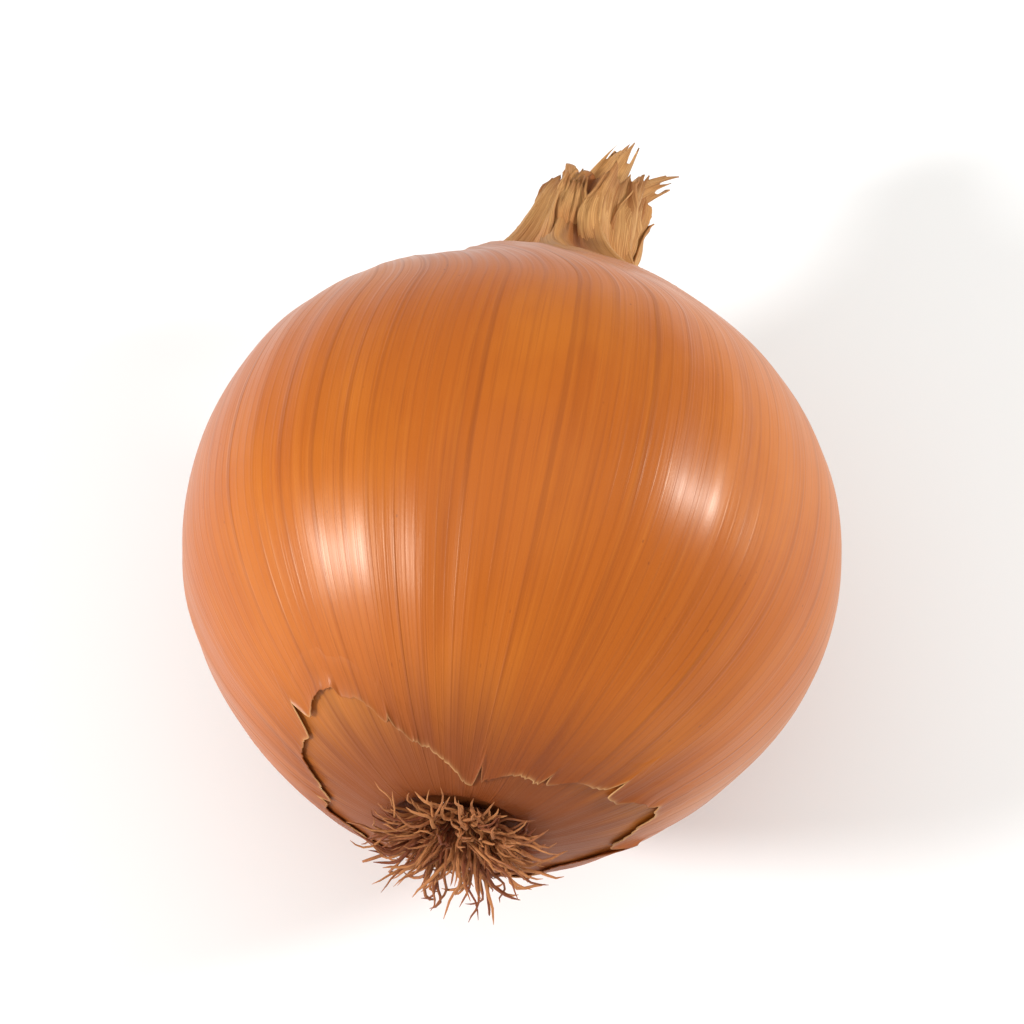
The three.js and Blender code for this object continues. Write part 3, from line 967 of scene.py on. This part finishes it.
# Form of a wrap round the neck, in the same way
WRAP_TEETH = 11
WRAP_TOOTH = 3.4
WRAP_TORN_FROM = 0.55
WRAP_FOOT_BREADTH = 0.55
WRAP_WIDEST_FROM = 0.5
WRAP_TIP_NARROWED = 0.45
WRAP_WAVE = 0.10
WRAP_WAVE_RATE = 9
WRAP_STRAYS = 0.5
WRAP_FOLD_LOSS = 0.35
WRAP_RISE = 0.10
WRAP_MORE_RISE = (0.175, 0.35)
WRAP_RISES_OVER = (0.2, 0.7)
WRAP_EDGE_RISE = (0.2, 0.6)
WRAP_EDGE_SHARPNESS = 6
WRAP_EDGE_OVER = (0.3, 0.7)
WRAP_FLARE = (-0.5, 1.6)
WRAP_FLARE_LENGTH = 30
WRAP_CRINKLE = (0.14, 14, 5)
WRAP_BURIED = 0.7
WRAP_BURIED_TO = 0.45
WRAP_SIDES_BURIED = 0.25
WRAP_SIDES_BURIED_OVER = (0.2, 0.6)
WRAP_PLACE_BREADTH = 1.4


def sheet_grid():
    """Places across a sheet, from -1 to 1, and along it, from 0 to 1."""
    return np.linspace(-1, 1, SHEET_COLUMNS)[None, :], np.linspace(0, 1, SHEET_ROWS)[:, None]


def torn_teeth(rng, across, count, low, high):
    """Seeded heights of the teeth along a torn tip."""
    return np.interp(across, np.linspace(-1, 1, count), rng.uniform(low, high, count))


def crinkles(rng, across, share, height, rate_across, rate_along):
    """Seeded crinkles of a sheet, which grow along it."""
    return height * np.sin(rate_along * share + rate_across * across + rng.uniform(0, TAU)) * share


def sheath_sheet(index, ring):
    """Points of one dried sheath end: papery, creased along its length and torn at its tip."""
    look = settings().neck
    count, radius, width, tight, open_flare = ring
    rng = np.random.default_rng(index * SHEATH_SEED + count)
    angle = TAU * (index + SHEATH_STRAYS * spread(index, 1)) / count
    length = blend(look.shortest, look.longest, spread(index, 0)) / MM
    opening = blend(tight, open_flare, spread(index, 2))
    turn_by = blend(*SHEATH_TURN, spread(index, 3))
    across, along = sheet_grid()
    teeth = torn_teeth(rng, across, SHEATH_TEETH, *SHEATH_TOOTH)
    share = along * (1 - (1 - teeth) * smooth_step(SHEATH_TORN_FROM, 1, along))
    half_width = width / 2 * (1 - SHEATH_TIP_NARROWED * share**SHEATH_NARROWS_LATE)
    here = angle + turn_by * share
    cup = half_width**2 / (2 * radius) * across**2
    crease = np.cos(across * rng.uniform(*SHEATH_CREASE_RATE) + rng.uniform(0, TAU))
    crease = SHEATH_CREASE * crease * (SHEATH_CREASE_AT_FOOT + share)
    crinkle = crinkles(rng, across, share, *SHEATH_CRINKLE)
    curl = rng.uniform(*SHEATH_CURL) * share**3
    out = radius + opening * share**2 - cup + crease + crinkle + curl
    sideways = half_width * across * (1 - SHEATH_PUCKER * share * np.cos(SHEATH_PUCKER_RATE * across))
    middle = round_axis(out, here, SHEATH_BASE + length * share)
    points = leaning(middle + round_axis(sideways, here + TAU / 4, 0))
    return points, np.stack(np.broadcast_arrays(across, share, index), axis=-1)


def neck_wrap(index):
    """Points of one papery wrap that hugs the neck and ends in a torn tip just past its rim."""
    begins, ends, half_width = WRAPS[index]
    rng = np.random.default_rng(WRAP_SEED + index)
    across, along = sheet_grid()
    teeth = torn_teeth(rng, across, WRAP_TEETH, 0, WRAP_TOOTH)
    axial = begins + (ends - begins) * along - teeth * smooth_step(WRAP_TORN_FROM, 1, along)
    half_width = half_width * blend(WRAP_FOOT_BREADTH, 1, smooth_step(0, WRAP_WIDEST_FROM, along))
    half_width = half_width * (1 - WRAP_TIP_NARROWED * along**3)
    half_width = half_width * (1 + WRAP_WAVE * np.sin(WRAP_WAVE_RATE * along + rng.uniform(0, TAU)))
    untwisted = TAU * ((index + WRAP_STRAYS * spread(index, 2)) / len(WRAPS) + half_width * across)
    angle = untwisted - neck_turn(axial)
    _, radius = outline_at(share_at_length(length_at_axial(np.minimum(axial, NECK_STRAIGHT_FROM))))
    edge = np.abs(across) ** WRAP_EDGE_SHARPNESS * blend(*WRAP_EDGE_RISE, along)
    edge = edge * smooth_step(*WRAP_EDGE_OVER, along)
    more = rng.uniform(*WRAP_MORE_RISE) * smooth_step(*WRAP_RISES_OVER, along)
    past_neck = np.maximum(0, axial - NECK_STRAIGHT_FROM)
    flare = rng.uniform(*WRAP_FLARE) * past_neck**2 / WRAP_FLARE_LENGTH
    crinkle = crinkles(rng, across, along, *WRAP_CRINKLE)
    buried = WRAP_BURIED * (1 - smooth_step(0, WRAP_BURIED_TO, along))
    buried = buried + WRAP_SIDES_BURIED * across**2 * (1 - smooth_step(*WRAP_SIDES_BURIED_OVER, along))
    folds = neck_folds(angle, axial, radius) * (1 - WRAP_FOLD_LOSS * along)
    r = radius + folds + WRAP_RISE + edge + more + flare + crinkle - buried
    place = np.broadcast_arrays(across * WRAP_PLACE_BREADTH, along, index + WRAP_PLACE)
    return leaning(round_axis(r, angle, axial)), np.stack(place, axis=-1)


class ONION_OT_neck(bpy.types.Operator):
    """Build the dried sheath ends that fray out of the neck, and the wraps that hug it"""

    bl_idname = "onion.neck"
    bl_label = "Neck"

    def execute(self, context):
        sheets = [sheath_sheet(index, ring) for ring in SHEATH_RINGS for index in range(ring[0])]
        sheets += [neck_wrap(index) for index in range(len(WRAPS))]
        faces = []
        for number in range(len(sheets)):
            start = number * SHEET_ROWS * SHEET_COLUMNS
            faces += [[v + start for v in face] for face in sheet_faces(SHEET_ROWS, SHEET_COLUMNS)]
        points = np.concatenate([sheet.reshape(-1, 3) for sheet, _ in sheets])
        notes = {"sheath_place": np.concatenate([place.reshape(-1, 3) for _, place in sheets])}
        piece = make_piece("neck_sheaths", points, faces, sheath_paper(), notes)
        thicken(piece, settings().neck.thickness)
        return {"FINISHED"}


# Roots: the plate's section from the middle of its outer face round to its inner one, as radius and
# distance along the axis, and its waves as (how many, depth, phase)
PLATE_SECTION = np.array([
    (0, PLATE_OUTER - 0.3),
    (PLATE_RADIUS - 2.6, PLATE_OUTER + 0.1),
    (PLATE_RADIUS - 0.6, PLATE_OUTER + 1.0),
    (PLATE_RADIUS, PLATE_INNER - 0.9),
    (PLATE_RADIUS - 1.2, PLATE_INNER - 0.25),
    (0, PLATE_INNER),
])
PLATE_WAVES = ((5, 0.05, 1), (9, 0.03, 0))
PLATE_LUMP = np.array([0.08, 0.08, 0.16])
PLATE_ROWS = 30
PLATE_COLUMNS = 72

# Paths of the roots. Their bends in tilt and in heading are (rate, height), each with a seeded phase
ROOT_PATH_SEED = 7
ROOT_FORM_SEED = 8
ROOT_STEPS = 10
ROOT_SIDES = 6
ROOT_LENGTHS_LEAN = 1.3
ROOT_SPLAY = 1.50
ROOT_SPLAY_SPREAD = 0.60
ROOT_SWIRL = 1.7
ROOT_SPLAY_SHARE = (0.35, 1.2)
ROOT_TILT_BENDS = ((7, 0.28), (15, 0.16))
ROOT_HEADING_BENDS = ((6, 0.5), (13, 0.25))
ROOT_START_INSIDE = 0.7
ROOT_START_DEPTH = 1.1
ROOT_CLEARANCE = 0.45
SKIN_CLEARED_FROM = 14

# Form of a root: how it thins, how blunt its tip is, and how thick roots are against the setting
ROOT_THINS = 0.55
ROOT_TIP_SHARPNESS = 6
ROOT_TIP_WIDTH = 0.25
ROOT_THICKNESSES = (0.6, 1.1)
WIRE_SIDE_FROM = np.array([0.31, 0.86, 0.4])


def plate_points():
    """Points of the corky root plate, from the middle of its outer face round to its inner one."""
    corners = np.arange(len(PLATE_SECTION))
    walked = np.linspace(0, corners[-1], PLATE_ROWS)
    radius = np.interp(walked, corners, PLATE_SECTION[:, 0])[:, None]
    axial = np.interp(walked, corners, PLATE_SECTION[:, 1])[:, None]
    angle = np.linspace(0, TAU, PLATE_COLUMNS, endpoint=False)[None, :]
    wavy = 1 - sum(depth * (1 + np.cos(count * angle + phase)) for count, depth, phase in PLATE_WAVES)
    bare = round_axis(radius * wavy, angle, axial)
    return bare + PLATE_LUMPS(bare)[..., None] * PLATE_LUMP


def root_paths(count, shortest, longest):
    """Middle lines of the dried roots. They leave the plate, bend outwards and lie back over the bulb."""
    rng = np.random.default_rng(ROOT_PATH_SEED)
    index = np.arange(count)
    share = np.sqrt((index + 0.5) / count)
    start = index * GOLDEN_ANGLE
    length = blend(shortest, longest, rng.uniform(0, 1, count) ** ROOT_LENGTHS_LEAN)
    splay = ROOT_SPLAY * share + ROOT_SPLAY_SPREAD * rng.uniform(0, 1, count)
    swirl = ROOT_SWIRL * (rng.uniform(0, 1, count) - 0.5)
    phases = rng.uniform(0, TAU, (4, count))
    tilt_bends = [(*bend, phase) for bend, phase in zip(ROOT_TILT_BENDS, phases[:2])]
    heading_bends = [(*bend, phase) for bend, phase in zip(ROOT_HEADING_BENDS, phases[2:])]
    radius = share * (PLATE_RADIUS - ROOT_START_INSIDE)
    here = round_axis(radius, start, PLATE_OUTER + ROOT_START_DEPTH)
    path = [here]
    for i in range(ROOT_STEPS):
        along = (i + 0.5) / ROOT_STEPS
        tilt = splay * blend(*ROOT_SPLAY_SHARE, along) + waves(tilt_bends, along)
        heading = start + swirl * along + waves(heading_bends, along)
        ahead = round_axis(np.sin(tilt), heading, -np.cos(tilt))
        here = here + ahead * (length / ROOT_STEPS)[:, None]
        reach = np.hypot(here[:, 0], here[:, 1])
        ceiling = root_side(reach, WALK_AXIAL) - ROOT_CLEARANCE - SKIN_STEP * (reach > SKIN_CLEARED_FROM)
        inside_plate = reach < PLATE_RADIUS
        here[:, 2] = np.where(inside_plate, here[:, 2], np.minimum(here[:, 2], ceiling))
        path.append(here)
    return np.stack(path, axis=1)


def wires(paths, thickness):
    """Tapering wires along paths: their points and their faces."""
    count, steps = paths.shape[:2]
    ahead = np.gradient(paths, axis=1)
    ahead /= np.linalg.norm(ahead, axis=2, keepdims=True)
    x = np.cross(ahead, WIRE_SIDE_FROM)
    x /= np.linalg.norm(x, axis=2, keepdims=True)
    y = np.cross(ahead, x)
    along = np.linspace(0, 1, steps)
    tip_width = np.minimum(1, (1 - along) * ROOT_TIP_SHARPNESS + ROOT_TIP_WIDTH)
    taper = (1 - ROOT_THINS * along) * tip_width
    radius = thickness[:, None] / 2 * taper[None, :]
    turn = np.linspace(0, TAU, ROOT_SIDES, endpoint=False)
    around = x[:, :, None] * np.cos(turn)[:, None] + y[:, :, None] * np.sin(turn)[:, None]
    rings = paths[:, :, None] + radius[:, :, None, None] * around
    tips = paths[:, -1] + ahead[:, -1] * radius[:, -1:]
    feet = paths[:, 0]
    points = np.concatenate([rings.reshape(count, -1, 3), tips[:, None], feet[:, None]], axis=1)
    end = (steps - 1) * ROOT_SIDES
    tip, foot = steps * ROOT_SIDES, steps * ROOT_SIDES + 1
    one = sheet_faces(steps, ROOT_SIDES, closed=True)
    one += [(end + s, end + (s + 1) % ROOT_SIDES, tip) for s in range(ROOT_SIDES)]
    one += [((s + 1) % ROOT_SIDES, s, foot) for s in range(ROOT_SIDES)]
    faces = [[v + i * (foot + 1) for v in face] for i in range(count) for face in one]
    return points.reshape(-1, 3), faces


class ONION_OT_roots(bpy.types.Operator):
    """Build the corky root plate and the dried roots that leave it"""

    bl_idname = "onion.roots"
    bl_label = "Roots"

    def execute(self, context):
        look = settings().roots
        plate = plate_points().reshape(-1, 3)
        faces = [face[::-1] for face in sheet_faces(PLATE_ROWS, PLATE_COLUMNS, closed=True)]
        make_piece("root_plate", plate, faces, root_cork(), {"root_place": plate})

        rng = np.random.default_rng(ROOT_FORM_SEED)
        paths = root_paths(look.count, look.shortest / MM, look.longest / MM)
        thickness = look.thickness / MM * rng.uniform(*ROOT_THICKNESSES, look.count)
        points, faces = wires(paths, thickness)
        shades = np.repeat(rng.uniform(0, 1, look.count), len(points) // look.count)
        notes = {"root_shade": shades, "root_place": points}
        make_piece("dried_roots", points, faces, dried_root(), notes, ["root_tuft"])
        return {"FINISHED"}


# Studio, in metres: a floor that curves up into a low round wall, soft lights and pale air. A soft light
# has its way to the camera's right, up and back from the onion, then its distance, breadth and watts
SENSOR_WIDTH_MM = 36
FLOOR_MIDDLE = 0.4
FLOOR_FLAT = 1.5
FLOOR_CURVE = 1.3
FLOOR_RISE = 0.7
FLOOR_SIDES = 96
FLOOR_RINGS = 24
CEILING_LIGHT = (2.4, 3.0, 11)
SOFT_LIGHTS = (("left_softbox", (-0.83, -0.05, 0.60), (0.70, 0.145, 4.1)),
               ("right_softbox", (0.90, 0.28, 0.34), (0.75, 0.135, 3.5)))
AIR_COLOUR = (1.0, 0.965, 0.90, 1)
AIR_STRENGTH = 0.60


def camera_axes(azimuth, elevation):
    """Unit vectors to the camera's right, up and back towards it."""
    level = math.cos(elevation)
    back = Vector((math.sin(azimuth) * level, -math.cos(azimuth) * level, math.sin(elevation)))
    right = Vector((math.cos(azimuth), math.sin(azimuth), 0))
    return right, back.cross(right), back


def packed_points():
    """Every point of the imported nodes, in the row frame."""
    return np.array([tuple(v.co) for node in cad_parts.values() for v in node.data.vertices])


def set_camera(look):
    """The camera at the chosen side and height, centred on the onion and far enough back to frame it."""
    right, up, back = camera_axes(look.azimuth, look.elevation)
    seen = packed_points() @ np.array([right, up, back]).T
    middle = (seen.min(axis=0) + seen.max(axis=0)) / 2
    target = right * middle[0] + up * middle[1] + back * middle[2]
    tall = np.ptp(seen[:, 1])
    data = bpy.data.cameras.new("camera")
    data.lens = look.lens
    data.sensor_width = SENSOR_WIDTH_MM
    camera = add_object("camera", data)
    distance = tall / look.filled / (data.sensor_width / data.lens)
    camera.matrix_world = Matrix((right, up, back)).transposed().to_4x4()
    camera.location = target + back * distance
    bpy.context.scene.camera = camera
    return target, right, up, back


def softbox(name, target, direction, distance, breadth, watts):
    """A round soft light that faces the target."""
    data = bpy.data.lights.new(name, "AREA")
    data.shape = "DISK"
    data.size = breadth
    data.energy = watts
    light = add_object(name, data)
    light.location = target + direction.normalized() * distance
    light.rotation_euler = direction.to_track_quat("Z", "Y").to_euler()


def lay_floor():
    """A pale round floor whose rim curves up, so that it has no horizon."""
    climb = np.linspace(0, 1, FLOOR_RINGS)
    reach = np.concatenate([[FLOOR_MIDDLE], FLOOR_FLAT + FLOOR_CURVE * climb])
    height = np.concatenate([[0], FLOOR_RISE * climb**2])
    around = np.linspace(0, TAU, FLOOR_SIDES, endpoint=False)
    grid = round_axis(reach[:, None], around[None, :], height[:, None])
    faces = [face[::-1] for face in sheet_faces(len(reach), FLOOR_SIDES, closed=True)]
    faces.append(list(range(FLOOR_SIDES)))
    smooth_object("studio_floor", grid.reshape(-1, 3), faces, studio_floor())


def fill_air(scene):
    """Pale light from all round the onion."""
    world = bpy.data.worlds.new("studio_air")
    world.use_nodes = True
    air = world.node_tree.nodes["Background"]
    air.inputs["Color"].default_value = AIR_COLOUR
    air.inputs["Strength"].default_value = AIR_STRENGTH
    scene.world = world


class ONION_OT_studio(bpy.types.Operator):
    """Set the floor, the soft lights and the camera"""

    bl_idname = "onion.studio"
    bl_label = "Studio"

    def execute(self, context):
        target, right, up, back = set_camera(settings().studio)
        lay_floor()
        for name, (to_right, to_up, to_back), light in SOFT_LIGHTS:
            softbox(name, target, right * to_right + up * to_up + back * to_back, *light)
        softbox("ceiling_softbox", target, Vector((0, 0, 1)), *CEILING_LIGHT)
        fill_air(context.scene)
        context.scene.view_settings.view_transform = "Standard"
        return {"FINISHED"}


class ONION_PT_panel(bpy.types.Panel):
    """Lists the onion's pieces and what may be changed in them."""

    bl_label = "Onion"
    bl_idname = "ONION_PT_panel"
    bl_space_type = "VIEW_3D"
    bl_region_type = "UI"
    bl_category = "Onion"

    def draw(self, context):
        onion = context.scene.onion
        groups = (
            (onion.skin, ("onion.bulb", "onion.torn_skin")),
            (onion.neck, ("onion.neck",)),
            (onion.roots, ("onion.roots",)),
            (onion.studio, ("onion.studio",)),
        )
        for group, operators in groups:
            box = self.layout.box()
            for name in group.__annotations__:
                box.prop(group, name)
            for operator in operators:
                box.operator(operator)


class OnionSettings(bpy.types.PropertyGroup):
    """All that a user may change in the onion."""

    skin: bpy.props.PointerProperty(type=OnionSkinSettings, name="Skin", description="Bulb and skin")
    neck: bpy.props.PointerProperty(type=OnionNeckSettings, name="Neck", description="Dried sheath ends")
    roots: bpy.props.PointerProperty(type=OnionRootSettings, name="Roots", description="Plate and roots")
    studio: bpy.props.PointerProperty(type=OnionStudioSettings, name="Studio", description="Camera and light")


CLASSES = (
    OnionSkinSettings, OnionNeckSettings, OnionRootSettings, OnionStudioSettings, OnionSettings,
    ONION_OT_bulb, ONION_OT_torn_skin, ONION_OT_neck, ONION_OT_roots, ONION_OT_studio, ONION_PT_panel,
)


def register():
    for item in CLASSES:
        bpy.utils.register_class(item)
    bpy.types.Scene.onion = bpy.props.PointerProperty(
        type=OnionSettings, name="Onion", description="Sizes, colours and studio of the onion")


def unregister():
    del bpy.types.Scene.onion
    for item in reversed(CLASSES):
        bpy.utils.unregister_class(item)


def main():
    register()
    bpy.ops.onion.bulb()
    bpy.ops.onion.torn_skin()
    bpy.ops.onion.neck()
    bpy.ops.onion.roots()
    bpy.ops.onion.studio()


if __name__ == "__main__":
    main()
